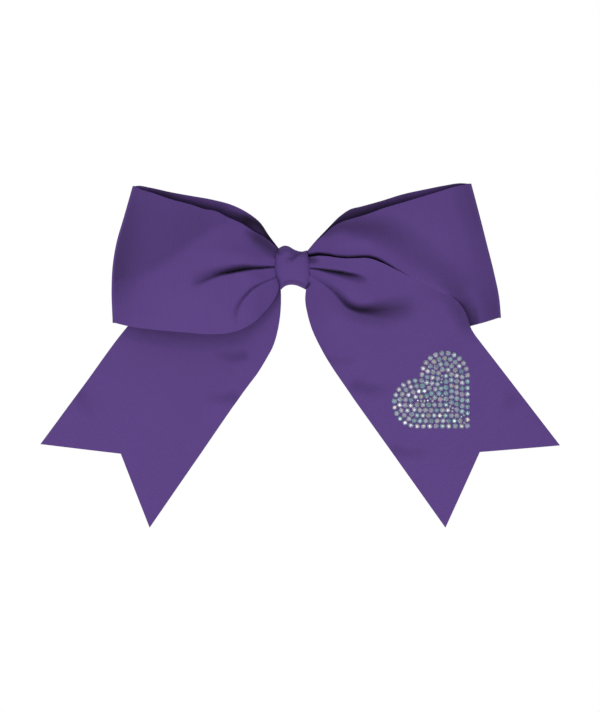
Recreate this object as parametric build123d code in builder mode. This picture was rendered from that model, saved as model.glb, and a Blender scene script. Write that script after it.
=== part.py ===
from build123d import *

import math
import os

# Cheer hair bow: two ribbon loops, two swallow-tailed tails, a knotted centre and a French barrette.
#
# Millimetres. +X is to the right as seen from the front, +Y points to the wearer's head and +Z is up.
# The origin is the middle of the barrette's hair gap, between its tension bar and its clasp.

os.makedirs("parts", exist_ok=True)

# ---- ribbon ----
RIBBON_T = 0.6  # thickness of the ribbon with its weave
GATHER_Y = -12.8  # depth of the middle of the gathered ribbon, from which the loops' and tails' depths count
EXIT_X = 9.0  # where the ribbon leaves the knot
FOLD_R = 1.2  # radius of the fold at the far end of each loop
HINGE_INNER = (8.8, -9.0)  # X, Z of the line along which the right tail bends; the left tail's is mirrored
HINGE_OUTER = (27.2, 3.8)
HINGE_OUTER_LEFT = (14.2, -5.2)

# ---- outlines: X and Z as seen from the front ----
LEFT_LOOP_KNOT_Z = 9.0  # half of its height where it leaves the knot
LEFT_LOOP_TOP = ((-25.0, 30.0), (-50.0, 38.6), (-87.8, 44.7))
LEFT_LOOP_BOTTOM = ((-98.8, -30.4), (-62.1, -35.9), (-29.2, -33.6), (-16.5, -24.0))
RIGHT_LOOP_KNOT_Z = (-8.0, 9.5)
RIGHT_LOOP_TOP = ((31.1, 32.1), (60.1, 40.3), (97.4, 46.0))
RIGHT_LOOP_BOTTOM = ((113.5, -27.7), (97.2, -32.1), (62.0, -37.5), (30.0, -31.0), (17.0, -21.0))
PAST_FOLDS_X = 130.0
RIGHT_TAIL_OUTER = ((62.0, -5.2), (97.9, -34.8), (145.6, -96.7))
RIGHT_TAIL_NOTCH = (102.9, -101.1)
RIGHT_TAIL_INNER = ((83.1, -141.7), (14.6, -43.0), (7.4, -25.0))
LEFT_TAIL_OUTER = ((-91.1, -32.6), (-138.3, -96.2))
LEFT_TAIL_NOTCH = (-94.4, -101.1)
LEFT_TAIL_INNER = ((-78.5, -141.7), (-15.5, -51.8), (-6.8, -25.0))
RIGHT_NECK = ((EXIT_X, -8.2), (26.4, 3.9), (20.1, 6.3), (EXIT_X, 8.5))
LEFT_NECK = ((-EXIT_X, -8.2), (-EXIT_X, -1.0), (-13.8, -4.9))

# ---- knot and what it holds ----
GATHER_HALF_X = 8.2
GATHER_END = (9.6, 16.0)  # depth and height where the ribbon leaves the knot
GATHER_CORNER = 2.5
WAIST_HALF_X = 1.6
WAIST = (8.0, 10.0)  # depth and height where the cable tie cinches the ribbon
TIE_W = 2.4
TIE_T = 1.1
TIE_HEAD = (4.2, 4.0, 2.7)
TIE_HEAD_ROUND = 0.5
GLUE_PAD = (7.0, 5.0)
GLUE_ROUND = 0.3
WRAP_HALF_X = 8.0
WRAP_FRONT_Y = -19.8
WRAP_BACK_Y = -5.2
WRAP_TOP_Z = 10.2
WRAP_BOTTOM_Z = -9.6
WRAP_FRONT_T = 1.2  # the strip is folded double in front
WRAP_BACK_T = 0.5
WRAP_FRONT_R = 6.0
WRAP_BACK_BEVEL = (3.8, 3.2)  # outside and inside

# ---- barrette: depths are of each strip's mid-line at X = 0 ----
BASE_Y = -6.4
BASE_R = 160.0
BASE_T = 0.8
BASE_L = 80.0
BASE_W = 9.0
SEW_HOLE_X = 37.6
SEW_HOLE_R = 1.0
CLASP_Y = 2.8
CLASP_R = 500.0
CLASP_T = 0.8
CLASP_W = 5.0
CLASP_TIP_X = 35.6
CLASP_TIP_L = 7.6
CLASP_TIP_W = 7.6
CLASP_TIP_R = 2.0
CLASP_LAP = 1.0
WINDOW_HALF_Z = 1.95
WINDOW_PLAY = 0.4
BAR_Y = -2.6
BAR_R = -470.0  # bowed the other way, towards the hair
BAR_T = 0.4
BAR_W = 4.0
BAR_HALF_L = 27.5
BAR_END_R = 1.2
BAR_PLAY = 0.1  # room round the bar in its staples
STAPLE_X = 26.0
STAPLE_T = 0.6
STAPLE = (1.4, 2.2, 0.8)  # length, height and side wall
STAPLE_SLOT = (3.0, 0.5)
HINGE_X = -32.0
PIN_R = 0.6
PIN_CLEARANCE = 0.06
PIN_HEAD = (1.0, 0.35)  # radius and thickness
KNUCKLE_R = 1.5
EAR_T = 0.7
EAR_IN_Z = 2.8
EAR_R = 1.7
EAR_FOOT = 2.4  # half of its length on the base
CATCH_X = 32.0
CATCH_L = 3.2
SADDLE_W = 5.0
SADDLE_TOP_Y = -1.7
RIVET_R = 0.7
RIVET_HEAD = (1.0, 0.4)
RIVET_HOLE_L = 6.0
PRONG_T = 0.5
PRONG_Z = 1.3  # inner face of each prong
PRONG_FOOT_Y = -1.4
PRONG_TOP_Y = 5.9
HOOK_Y = 4.45
HOOK_OUT = 0.8
HOOK_T = 0.4
PRONG_TAPER = 0.1
PINCH_LEAF_Y = 0.6
PINCH_EAR_Z = 5.6
PINCH_EAR_TOP_Y = 3.6

# ---- rhinestones ----
HEART_TIP = (95.5, -86.9)  # X, Z of the outermost stone at the heart's point
HEART_SIDE = 25.0  # straight side of the heart's square
LOBE_RISE = 2.6  # how far each lobe's centre stands off the square
ROWS = 5
ROW_PITCH = 2.93  # from one row of stones to the next one in
OUTER_PITCH = 3.47  # along the outermost row
INNER_PITCH = 3.1  # along the other rows
CLOSEST_PITCH = 2.92  # between the middles of two large stones
LARGE_D = 2.85
SMALL_D = 1.5
STONE_H = (1.15, 0.7)  # height of a large and of a small stone
STONE_GAP = 0.12
STONE_TAPER = 34.0
STONE_SIDES = 8
FILL_STEP = 0.3  # step of the search for room between the rows


def save(piece, name):
    """Labels a finished piece and writes its STEP."""
    piece.part.label = name
    export_step(piece.part, f"parts/{name}.step")


def bowed(crown_y, radius, x):
    """Y of an arc with its crown at X = 0. Its ends curve to +Y, or to -Y if the radius is negative."""
    sagitta = abs(radius) - math.sqrt(radius**2 - x**2)
    return crown_y + math.copysign(sagitta, radius)


def strip(crown_y, radius, thickness, x_range):
    """Plan of a bowed metal strip between two X values."""
    xs = (x_range[0], (x_range[0] + x_range[1]) / 2, x_range[1])
    with BuildSketch() as plan:
        with BuildLine():
            ThreePointArc(*[(x, bowed(crown_y, radius, x)) for x in xs])
        trace(line_width=thickness)
    return plan.sketch


# ======== ribbon loops ========

LOOP_LOW_Z = -45.0
LOOP_H = 100.0
TALL = 60.0  # more than half the depth of anything cut by an outline
LEFT_FOLD_LEAN = (11.0, 0, 75.1)  # the far fold of each loop leans towards the knot
RIGHT_FOLD_LEAN = (-16.1, 0, 73.5)
# Depths of the front and back layers at the knot and at their crowns, and X and depth of the far fold.
LEFT_PLAN = {"front": (-2.2, -13.2), "back": (1.0, 1.8), "fold": (101.0, -1.8)}
RIGHT_PLAN = {"front": (0.8, -10.5), "back": (2.8, 3.8), "fold": (117.3, -1.2)}


def loop_plan(side, front, back, fold):
    """Plan of one loop: front layer, far fold and back layer as one band. Depths count from the gather."""
    fold_x, fold_y = fold[0] - FOLD_R, GATHER_Y + fold[1]
    crown_x = side * fold[0] / 2
    front_end = (side * fold_x, fold_y - FOLD_R)
    back_end = (side * fold_x, fold_y + FOLD_R)
    front_exit, back_exit = [(side * EXIT_X, GATHER_Y + layer[0]) for layer in (front, back)]
    with BuildSketch() as plan:
        with BuildLine():
            ThreePointArc(front_exit, (crown_x, GATHER_Y + front[1]), front_end)
            ThreePointArc(front_end, (side * fold[0], fold_y), back_end)
            ThreePointArc(back_end, (crown_x, GATHER_Y + back[1]), back_exit)
        trace(line_width=RIBBON_T)
    return plan.sketch


with BuildPart() as loop_left:
    with BuildSketch(Plane.XY.offset(LOOP_LOW_Z)):
        add(loop_plan(-1, **LEFT_PLAN))
    extrude(amount=LOOP_H, dir=LEFT_FOLD_LEAN)
    with BuildSketch(Plane.XZ):
        with BuildLine():
            knot_top = (-EXIT_X, LEFT_LOOP_KNOT_Z)
            knot_bottom = (-EXIT_X, -LEFT_LOOP_KNOT_Z)
            far_top = (-PAST_FOLDS_X, LEFT_LOOP_TOP[2][1])
            far_bottom = (-PAST_FOLDS_X, LEFT_LOOP_BOTTOM[0][1])
            Line(knot_bottom, knot_top)
            ThreePointArc(knot_top, *LEFT_LOOP_TOP[:2])
            Polyline(*LEFT_LOOP_TOP[1:], far_top, far_bottom, LEFT_LOOP_BOTTOM[0])
            ThreePointArc(*LEFT_LOOP_BOTTOM[:3])
            ThreePointArc(*LEFT_LOOP_BOTTOM[2:], knot_bottom)
        make_face()
    extrude(amount=TALL, both=True, mode=Mode.INTERSECT)
save(loop_left, "ribbon_loop_left")

with BuildPart() as loop_right:
    with BuildSketch(Plane.XY.offset(LOOP_LOW_Z)):
        add(loop_plan(1, **RIGHT_PLAN))
    extrude(amount=LOOP_H, dir=RIGHT_FOLD_LEAN)
    with BuildSketch(Plane.XZ):
        with BuildLine():
            knot_bottom, knot_top = [(EXIT_X, z) for z in RIGHT_LOOP_KNOT_Z]
            far_top = (PAST_FOLDS_X, RIGHT_LOOP_TOP[2][1])
            far_bottom = (PAST_FOLDS_X, RIGHT_LOOP_BOTTOM[0][1])
            Polyline(knot_bottom, knot_top, RIGHT_LOOP_TOP[0])
            ThreePointArc(*RIGHT_LOOP_TOP)
            Polyline(RIGHT_LOOP_TOP[2], far_top, far_bottom, *RIGHT_LOOP_BOTTOM[:2])
            ThreePointArc(*RIGHT_LOOP_BOTTOM[1:4])
            ThreePointArc(*RIGHT_LOOP_BOTTOM[3:], knot_bottom)
        make_face()
    extrude(amount=TALL, both=True, mode=Mode.INTERSECT)
save(loop_right, "ribbon_loop_right")

# ======== ribbon tails ========
# Each tail is two nodes: the neck, which the knot holds, and the tail that bends forwards or back from it.

TAIL_LOW_Z = -150.0
TAIL_H = 170.0
TAIL_EXIT_Y = GATHER_Y - 5.0
TAIL_FLAT_Y = GATHER_Y - 13.2  # the flat stretch that carries the heart
TAIL_FLAT_X = (50.0, 105.0)
TAIL_TIP_X = 155.0
TAIL_TIP_Y = TAIL_FLAT_Y + 6.5
TAIL_LEFT_R = 780.0
TAIL_LEFT_CROWN = (-60.0, GATHER_Y + 5.3)


def right_tail_plan():
    """Plan of the right tail: it rises over the loop's front, lies flat under the heart and falls back."""
    flat_start = (TAIL_FLAT_X[0], TAIL_FLAT_Y)
    flat_end = (TAIL_FLAT_X[1], TAIL_FLAT_Y)
    with BuildSketch() as plan:
        with BuildLine():
            TangentArc(flat_start, (HINGE_INNER[0] - 1, TAIL_EXIT_Y), tangent=(-1, 0))
            Line(flat_start, flat_end)
            TangentArc(flat_end, (TAIL_TIP_X, TAIL_TIP_Y), tangent=(1, 0))
        trace(line_width=RIBBON_T)
    return plan.sketch


def left_tail_plan():
    """Plan of the left tail, which hangs behind its loop in one shallow arc."""
    crown_x, crown_y = TAIL_LEFT_CROWN
    xs = (-EXIT_X, crown_x, -TAIL_TIP_X)
    with BuildSketch() as plan:
        with BuildLine():
            ThreePointArc(*[(x, bowed(crown_y, -TAIL_LEFT_R, x - crown_x)) for x in xs])
        trace(line_width=RIBBON_T)
    return plan.sketch


with BuildPart() as tail_right:
    with BuildSketch(Plane.XY.offset(TAIL_LOW_Z)):
        add(right_tail_plan())
    extrude(amount=TAIL_H)
    with BuildSketch(Plane.XZ):
        with BuildLine():
            Line(HINGE_INNER, HINGE_OUTER)
            ThreePointArc(HINGE_OUTER, *RIGHT_TAIL_OUTER[:2])
            Polyline(*RIGHT_TAIL_OUTER[1:], RIGHT_TAIL_NOTCH, *RIGHT_TAIL_INNER[:2])
            ThreePointArc(*RIGHT_TAIL_INNER[1:], HINGE_INNER)
        make_face()
    extrude(amount=TALL, both=True, mode=Mode.INTERSECT)
save(tail_right, "ribbon_tail_right")

with BuildPart() as neck_right:
    with BuildSketch(Plane.XY.offset(TAIL_LOW_Z)):
        add(right_tail_plan())
    extrude(amount=TAIL_H)
    with BuildSketch(Plane.XZ):
        Polygon(*RIGHT_NECK, align=None)
    extrude(amount=TALL, both=True, mode=Mode.INTERSECT)
save(neck_right, "ribbon_neck_right")

with BuildPart() as tail_left:
    with BuildSketch(Plane.XY.offset(TAIL_LOW_Z)):
        add(left_tail_plan())
    extrude(amount=TAIL_H)
    with BuildSketch(Plane.XZ):
        with BuildLine():
            hinge = (-HINGE_INNER[0], HINGE_INNER[1])
            hinge_end = (-HINGE_OUTER_LEFT[0], HINGE_OUTER_LEFT[1])
            Polyline(hinge, hinge_end, *LEFT_TAIL_OUTER, LEFT_TAIL_NOTCH, *LEFT_TAIL_INNER[:2])
            ThreePointArc(*LEFT_TAIL_INNER[1:], hinge)
        make_face()
    extrude(amount=TALL, both=True, mode=Mode.INTERSECT)
save(tail_left, "ribbon_tail_left")

with BuildPart() as neck_left:
    with BuildSketch(Plane.XY.offset(TAIL_LOW_Z)):
        add(left_tail_plan())
    extrude(amount=TAIL_H)
    with BuildSketch(Plane.XZ):
        Polygon(*LEFT_NECK, align=None)
    extrude(amount=TALL, both=True, mode=Mode.INTERSECT)
save(neck_left, "ribbon_neck_left")

# ======== knot ========

with BuildPart() as gather:
    with BuildSketch(Plane.YZ.offset(-WAIST_HALF_X)):
        with Locations((GATHER_Y, 0)):
            RectangleRounded(*WAIST, radius=GATHER_CORNER)
    extrude(amount=2 * WAIST_HALF_X)
    for side in (-1, 1):
        for x, section in ((WAIST_HALF_X, WAIST), (GATHER_HALF_X, GATHER_END)):
            with BuildSketch(Plane.YZ.offset(side * x)):
                with Locations((GATHER_Y, 0)):
                    RectangleRounded(*section, radius=GATHER_CORNER)
        loft()
save(gather, "ribbon_gather")

with BuildPart() as cable_tie:
    with BuildSketch(Plane.YZ.offset(-TIE_W / 2)):
        with Locations((GATHER_Y, 0)):
            RectangleRounded(WAIST[0] + 2 * TIE_T, WAIST[1] + 2 * TIE_T, radius=GATHER_CORNER + TIE_T)
            RectangleRounded(*WAIST, radius=GATHER_CORNER, mode=Mode.SUBTRACT)
    extrude(amount=TIE_W)
    with Locations((0, GATHER_Y, WAIST[1] / 2 + TIE_T / 2)):
        Box(*TIE_HEAD, align=(Align.CENTER, Align.CENTER, Align.MIN))
    fillet(cable_tie.edges().group_by(Axis.Z)[-1], radius=TIE_HEAD_ROUND)
save(cable_tie, "cable_tie")

GLUE_FRONT_Y = GATHER_Y + WAIST[0] / 2 + TIE_T
BASE_FRONT_Y = BASE_Y - BASE_T / 2

with BuildPart() as glue_pad:
    with BuildSketch(Plane.XZ.offset(-BASE_FRONT_Y)):
        SlotOverall(*GLUE_PAD)
    extrude(amount=BASE_FRONT_Y - GLUE_FRONT_Y)
    fillet(glue_pad.edges().group_by(Axis.Y)[0], radius=GLUE_ROUND)
save(glue_pad, "glue_pad")

with BuildPart() as knot_wrap:
    middle = ((WRAP_BACK_Y + WRAP_FRONT_Y) / 2, (WRAP_TOP_Z + WRAP_BOTTOM_Z) / 2)
    inner_y = (WRAP_FRONT_Y + WRAP_FRONT_T, WRAP_BACK_Y - WRAP_BACK_T)
    inner_z = (WRAP_BOTTOM_Z + WRAP_FRONT_T, WRAP_TOP_Z - WRAP_FRONT_T)
    with BuildSketch(Plane.YZ.offset(-WRAP_HALF_X)):
        with BuildSketch() as outside:
            with Locations(middle):
                Rectangle(WRAP_BACK_Y - WRAP_FRONT_Y, WRAP_TOP_Z - WRAP_BOTTOM_Z)
            fillet(outside.vertices().group_by(Axis.X)[0], radius=WRAP_FRONT_R)
            chamfer(outside.vertices().group_by(Axis.X)[-1], length=WRAP_BACK_BEVEL[0])
        with BuildSketch(mode=Mode.SUBTRACT) as inside:
            with Locations((sum(inner_y) / 2, sum(inner_z) / 2)):
                Rectangle(inner_y[1] - inner_y[0], inner_z[1] - inner_z[0])
            fillet(inside.vertices().group_by(Axis.X)[0], radius=WRAP_FRONT_R - WRAP_FRONT_T)
            chamfer(inside.vertices().group_by(Axis.X)[-1], length=WRAP_BACK_BEVEL[1])
    extrude(amount=2 * WRAP_HALF_X)
save(knot_wrap, "knot_wrap")

# ======== barrette ========

PIN_Y = bowed(CLASP_Y, CLASP_R, HINGE_X)
EAR_FOOT_Y = bowed(BASE_Y, BASE_R, HINGE_X)
BAR_END_Y = bowed(BAR_Y, BAR_R, STAPLE_X)
CATCH_FOOT_Y = bowed(BASE_Y, BASE_R, CATCH_X)
CATCH_SLOPE = CATCH_X / (BASE_R - (CATCH_FOOT_Y - BASE_Y))
# The rivet stands square to the base, where the base is already curving back.
RIVET_PLANE = Plane(origin=(CATCH_X, CATCH_FOOT_Y, 0), x_dir=(0, 0, 1), z_dir=(-CATCH_SLOPE, 1, 0))

with BuildPart() as barrette_base:
    with BuildSketch(Plane.XY.offset(-BASE_W / 2)):
        add(strip(BASE_Y, BASE_R, BASE_T, (-BASE_L / 2, BASE_L / 2)))
    extrude(amount=BASE_W)
    with BuildSketch(Plane.XZ):
        SlotOverall(BASE_L, BASE_W)
    extrude(amount=TALL, both=True, mode=Mode.INTERSECT)
    for z in (EAR_IN_Z, -EAR_IN_Z - EAR_T):
        with BuildSketch(Plane.XY.offset(z)):
            with BuildLine():
                foot = (HINGE_X - EAR_FOOT, EAR_FOOT_Y + BASE_T / 2)
                far_foot = (HINGE_X + EAR_FOOT, EAR_FOOT_Y - BASE_T / 2)
                Line(foot, (HINGE_X - EAR_R, PIN_Y))
                ThreePointArc((HINGE_X - EAR_R, PIN_Y), (HINGE_X, PIN_Y + EAR_R), (HINGE_X + EAR_R, PIN_Y))
                Polyline((HINGE_X + EAR_R, PIN_Y), far_foot, foot)
            make_face()
            with Locations((HINGE_X, PIN_Y)):
                Circle(PIN_R, mode=Mode.SUBTRACT)
        extrude(amount=EAR_T)
    for side in (-1, 1):
        staple_y = BAR_END_Y + BAR_T / 2 + STAPLE_T
        with Locations((side * STAPLE_X, staple_y, 0)):
            Box(STAPLE[0], STAPLE[1], BAR_W + 2 * STAPLE[2], align=(Align.CENTER, Align.MAX, Align.CENTER))
        with Locations((side * STAPLE_X, BAR_END_Y + (BAR_T + BAR_PLAY) / 2, 0)):
            slot = (*STAPLE_SLOT, BAR_W + 2 * BAR_PLAY)
            Box(*slot, align=(Align.CENTER, Align.MAX, Align.CENTER), mode=Mode.SUBTRACT)
    with BuildSketch(Plane.XZ):
        with Locations((-SEW_HOLE_X, 0), (SEW_HOLE_X, 0)):
            Circle(SEW_HOLE_R)
    extrude(amount=TALL, both=True, mode=Mode.SUBTRACT)
    with Locations(RIVET_PLANE):
        Cylinder(RIVET_R, RIVET_HOLE_L, mode=Mode.SUBTRACT)
save(barrette_base, "barrette_base")

with BuildPart() as tension_bar:
    with BuildSketch(Plane.XY.offset(-BAR_W / 2)):
        add(strip(BAR_Y, BAR_R, BAR_T, (-BAR_HALF_L, BAR_HALF_L)))
    extrude(amount=BAR_W)
    fillet(tension_bar.edges().filter_by(Axis.Y, tolerance=6), radius=BAR_END_R)
save(tension_bar, "barrette_tension_bar")

with BuildPart() as hinge_pin:
    with BuildSketch(Plane.XY.offset(-EAR_IN_Z - EAR_T)):
        with Locations((HINGE_X, PIN_Y)):
            Circle(PIN_R)
    extrude(amount=2 * (EAR_IN_Z + EAR_T))
    for z in (EAR_IN_Z + EAR_T, -EAR_IN_Z - EAR_T - PIN_HEAD[1]):
        with BuildSketch(Plane.XY.offset(z)):
            with Locations((HINGE_X, PIN_Y)):
                Circle(PIN_HEAD[0])
        extrude(amount=PIN_HEAD[1])
save(hinge_pin, "barrette_hinge_pin")

with BuildPart() as clasp:
    tip_start = CLASP_TIP_X - CLASP_TIP_L
    with BuildSketch(Plane.XY.offset(-CLASP_TIP_W / 2)):
        add(strip(CLASP_Y, CLASP_R, CLASP_T, (HINGE_X, CLASP_TIP_X)))
    extrude(amount=CLASP_TIP_W)
    with BuildSketch(Plane.XZ):
        with Locations(((HINGE_X + tip_start) / 2, 0)):
            Rectangle(tip_start - HINGE_X + 2 * CLASP_LAP, CLASP_W)
        with Locations(((tip_start + CLASP_TIP_X) / 2, 0)):
            RectangleRounded(CLASP_TIP_L, CLASP_TIP_W, radius=CLASP_TIP_R)
        with Locations((CATCH_X, 0)):
            Rectangle(CATCH_L + 2 * WINDOW_PLAY, 2 * WINDOW_HALF_Z, mode=Mode.SUBTRACT)
    extrude(amount=TALL, both=True, mode=Mode.INTERSECT)
    with BuildSketch(Plane.XY.offset(-CLASP_W / 2)):
        with Locations((HINGE_X, PIN_Y)):
            Circle(KNUCKLE_R)
    extrude(amount=CLASP_W)
    with BuildSketch(Plane.XY.offset(-CLASP_W / 2)):
        with Locations((HINGE_X, PIN_Y)):
            Circle(PIN_R + PIN_CLEARANCE)
    extrude(amount=CLASP_W, mode=Mode.SUBTRACT)
save(clasp, "barrette_clasp")

with BuildPart() as saddle:
    ends = (CATCH_X - CATCH_L / 2, CATCH_X, CATCH_X + CATCH_L / 2)
    feet = [(x, bowed(BASE_Y + BASE_T / 2, BASE_R - BASE_T / 2, x)) for x in ends]
    with BuildSketch(Plane.XY.offset(-SADDLE_W / 2)):
        with BuildLine():
            ThreePointArc(*feet)
            Polyline(feet[2], (ends[2], SADDLE_TOP_Y), (ends[0], SADDLE_TOP_Y), feet[0])
        make_face()
    extrude(amount=SADDLE_W)
    with Locations(RIVET_PLANE):
        Cylinder(RIVET_R, RIVET_HOLE_L, mode=Mode.SUBTRACT)
save(saddle, "catch_saddle")

with BuildPart() as rivet:
    front = -BASE_T / 2
    back = (SADDLE_TOP_Y - CATCH_FOOT_Y) + CATCH_SLOPE * RIVET_HEAD[0]
    with BuildSketch(RIVET_PLANE.offset(front)):
        Circle(RIVET_R)
    extrude(amount=back - front)
    with BuildSketch(RIVET_PLANE.offset(front - RIVET_HEAD[1])):
        Circle(RIVET_HEAD[0])
    extrude(amount=RIVET_HEAD[1])
    with BuildSketch(RIVET_PLANE.offset(back)):
        Circle(RIVET_HEAD[0])
    extrude(amount=RIVET_HEAD[1] / 2)
save(rivet, "catch_rivet")

for name, side in (("catch_prong_upper", 1), ("catch_prong_lower", -1)):
    inner = side * PRONG_Z
    outer = side * (PRONG_Z + PRONG_T)
    hook = outer + side * HOOK_OUT
    ear = side * PINCH_EAR_Z
    with BuildPart() as prong:
        with BuildSketch(Plane.YZ.offset(CATCH_X - CATCH_L / 2)):
            with BuildLine():
                Polyline(
                    (PRONG_FOOT_Y, inner),
                    (PRONG_TOP_Y, inner),
                    (PRONG_TOP_Y, outer - side * PRONG_TAPER),
                    (HOOK_Y + HOOK_T, hook),
                    (HOOK_Y, hook),
                    (HOOK_Y, outer),
                    (PINCH_LEAF_Y + PRONG_T, outer),
                    (PINCH_LEAF_Y + PRONG_T, ear - side * PRONG_T),
                    (PINCH_EAR_TOP_Y, ear - side * PRONG_T),
                    (PINCH_EAR_TOP_Y, ear),
                    (PINCH_LEAF_Y, ear),
                    (PINCH_LEAF_Y, outer),
                    (PRONG_FOOT_Y, outer),
                    close=True,
                )
            make_face()
        extrude(amount=CATCH_L)
    save(prong, name)


# ======== rhinestone heart ========

STONE_PLANE = Plane.XZ.offset(-(TAIL_FLAT_Y - RIBBON_T / 2))

with BuildSketch() as heart:
    for wide, tall, lobe in (
        (HEART_SIDE, HEART_SIDE + LOBE_RISE, (-HEART_SIDE / 2, HEART_SIDE + LOBE_RISE)),
        (HEART_SIDE + LOBE_RISE, HEART_SIDE, (-HEART_SIDE - LOBE_RISE, HEART_SIDE / 2)),
    ):
        with Locations(HEART_TIP):
            Rectangle(wide, tall, align=(Align.MAX, Align.MIN))
        with Locations((HEART_TIP[0] + lobe[0], HEART_TIP[1] + lobe[1])):
            Circle(HEART_SIDE / 2)


def far_enough(point, others, distance):
    """True if point is at least that distance from every other point."""
    return all(math.hypot(point[0] - x, point[1] - y) >= distance for x, y in others)


# Rows of large stones follow the heart's outline inwards, every other row shifted by half a stone.
large_stones = []
for row in range(ROWS):
    pitch = INNER_PITCH if row else OUTER_PITCH
    wires = offset(heart.sketch, -row * ROW_PITCH).wires() if row else [heart.wire()]
    for wire in wires:
        count = round(wire.length / pitch)
        for p in [wire.position_at((i + row % 2 / 2) / count) for i in range(count)]:
            if far_enough((p.X, p.Y), large_stones, CLOSEST_PITCH):
                large_stones.append((p.X, p.Y))

# Large stones and then small ones fill what the rows leave open.
small_stones = []
heart_face = heart.sketch.faces()[0]
heart_box = heart_face.bounding_box()
columns, lines = [round(extent / FILL_STEP) for extent in (heart_box.size.X, heart_box.size.Y)]
grid = [(heart_box.min.X + i * FILL_STEP, heart_box.min.Y + j * FILL_STEP)
        for i in range(columns) for j in range(lines)]
open_spots = [spot for spot in grid if far_enough(spot, large_stones, (LARGE_D + SMALL_D + STONE_GAP) / 2)]
open_spots = [spot for spot in open_spots if heart_face.is_inside((*spot, 0))]
for spot in open_spots:
    if far_enough(spot, large_stones, CLOSEST_PITCH):
        large_stones.append(spot)
for spot in open_spots:
    clear = far_enough(spot, large_stones, (LARGE_D + SMALL_D + STONE_GAP) / 2)
    if clear and far_enough(spot, small_stones, SMALL_D + STONE_GAP):
        small_stones.append(spot)

for name, spots, diameter, height in (
    ("rhinestones_large", large_stones, LARGE_D, STONE_H[0]),
    ("rhinestones_small", small_stones, SMALL_D, STONE_H[1]),
):
    with BuildPart() as stones:
        with BuildSketch(STONE_PLANE):
            with Locations(*spots):
                RegularPolygon(diameter / 2, STONE_SIDES)
        extrude(amount=height, taper=STONE_TAPER)
    save(stones, name)
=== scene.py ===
import math
import random

import bpy
import numpy as np
from mathutils import Matrix, Vector
from mathutils.bvhtree import BVHTree


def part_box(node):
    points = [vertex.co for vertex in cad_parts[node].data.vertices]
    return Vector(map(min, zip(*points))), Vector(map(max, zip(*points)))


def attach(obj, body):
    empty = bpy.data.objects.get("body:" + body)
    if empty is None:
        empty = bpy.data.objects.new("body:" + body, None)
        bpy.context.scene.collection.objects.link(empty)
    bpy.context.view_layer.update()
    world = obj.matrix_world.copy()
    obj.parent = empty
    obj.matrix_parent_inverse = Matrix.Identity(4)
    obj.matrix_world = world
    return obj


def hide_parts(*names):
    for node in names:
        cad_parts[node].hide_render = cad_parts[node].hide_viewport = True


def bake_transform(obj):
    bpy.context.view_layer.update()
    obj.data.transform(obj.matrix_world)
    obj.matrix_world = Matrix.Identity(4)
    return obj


# Cheer hair bow in 3-inch grosgrain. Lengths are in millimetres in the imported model's frame, and become
# metres where a mesh is made; only the studio is laid out in metres. Outlines are (X, Z) pairs as the bow is
# seen from the front.

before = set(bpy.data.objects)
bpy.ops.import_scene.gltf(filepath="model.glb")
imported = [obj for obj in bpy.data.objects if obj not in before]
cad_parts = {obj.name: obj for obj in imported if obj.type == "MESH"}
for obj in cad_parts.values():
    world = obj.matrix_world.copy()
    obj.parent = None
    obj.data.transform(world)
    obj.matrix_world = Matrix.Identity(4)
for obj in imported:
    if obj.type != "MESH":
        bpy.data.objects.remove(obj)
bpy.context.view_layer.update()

MM = 0.001
RIBBON_W = 76.2
RIBBON_T = 0.45
RIB_PITCH = 1.1
WARP_PITCH = 0.42
SELVEDGE_W = 1.1


def node_box(node):
    """A CAD node's lowest and highest corner, in millimetres."""
    low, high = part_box(node)
    return np.array(low) / MM, np.array(high) / MM


gather_low, gather_high = node_box("ribbon_gather")
GATHER_Y = (gather_low[1] + gather_high[1]) / 2
STONE_BACK_Y = node_box("rhinestones_large")[1][1]

# ======== curves and surfaces ========


def spline(points, count=200):
    """A smooth curve through the points, as that many samples evenly spaced along it."""
    p = np.array(points, float)
    knots = np.concatenate([[0], np.cumsum(np.linalg.norm(np.diff(p, axis=0), axis=1))])
    step = np.diff(knots)[:, None]
    slope = np.diff(p, axis=0) / step
    between = (slope[:-1] * step[1:] + slope[1:] * step[:-1]) / (step[1:] + step[:-1])
    tangent = np.vstack([slope[:1], between, slope[-1:]])
    fine = []
    for k in range(len(p) - 1):
        t = np.linspace(0, 1, 24, endpoint=False)[:, None]
        fine.append((2 * t**3 - 3 * t**2 + 1) * p[k] + (t**3 - 2 * t**2 + t) * step[k] * tangent[k]
                    + (3 * t**2 - 2 * t**3) * p[k + 1] + (t**3 - t**2) * step[k] * tangent[k + 1])
    fine = np.vstack([*fine, p[-1]])
    along = np.concatenate([[0], np.cumsum(np.linalg.norm(np.diff(fine, axis=0), axis=1))])
    at = np.linspace(0, along[-1], count)
    return np.stack([np.interp(at, along, fine[:, i]) for i in range(fine.shape[1])], axis=1)


def length(curve):
    """Length of a sampled curve."""
    return np.linalg.norm(np.diff(curve, axis=0), axis=1).sum()


def at_share(curve, share):
    """Points of a sampled curve at shares of its length, from 0 to 1."""
    grid = np.linspace(0, 1, len(curve))
    return np.stack([np.interp(share, grid, curve[:, i]) for i in range(curve.shape[1])], axis=-1)


def profile(pairs, x):
    """A smooth function through (x, value) pairs."""
    curve = spline(pairs, 400)
    return np.interp(x, curve[:, 0], curve[:, 1])


def ease(t):
    """0 below 0, 1 above 1 and smooth between."""
    t = np.clip(t, 0, 1)
    return t * t * (3 - 2 * t)


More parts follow.
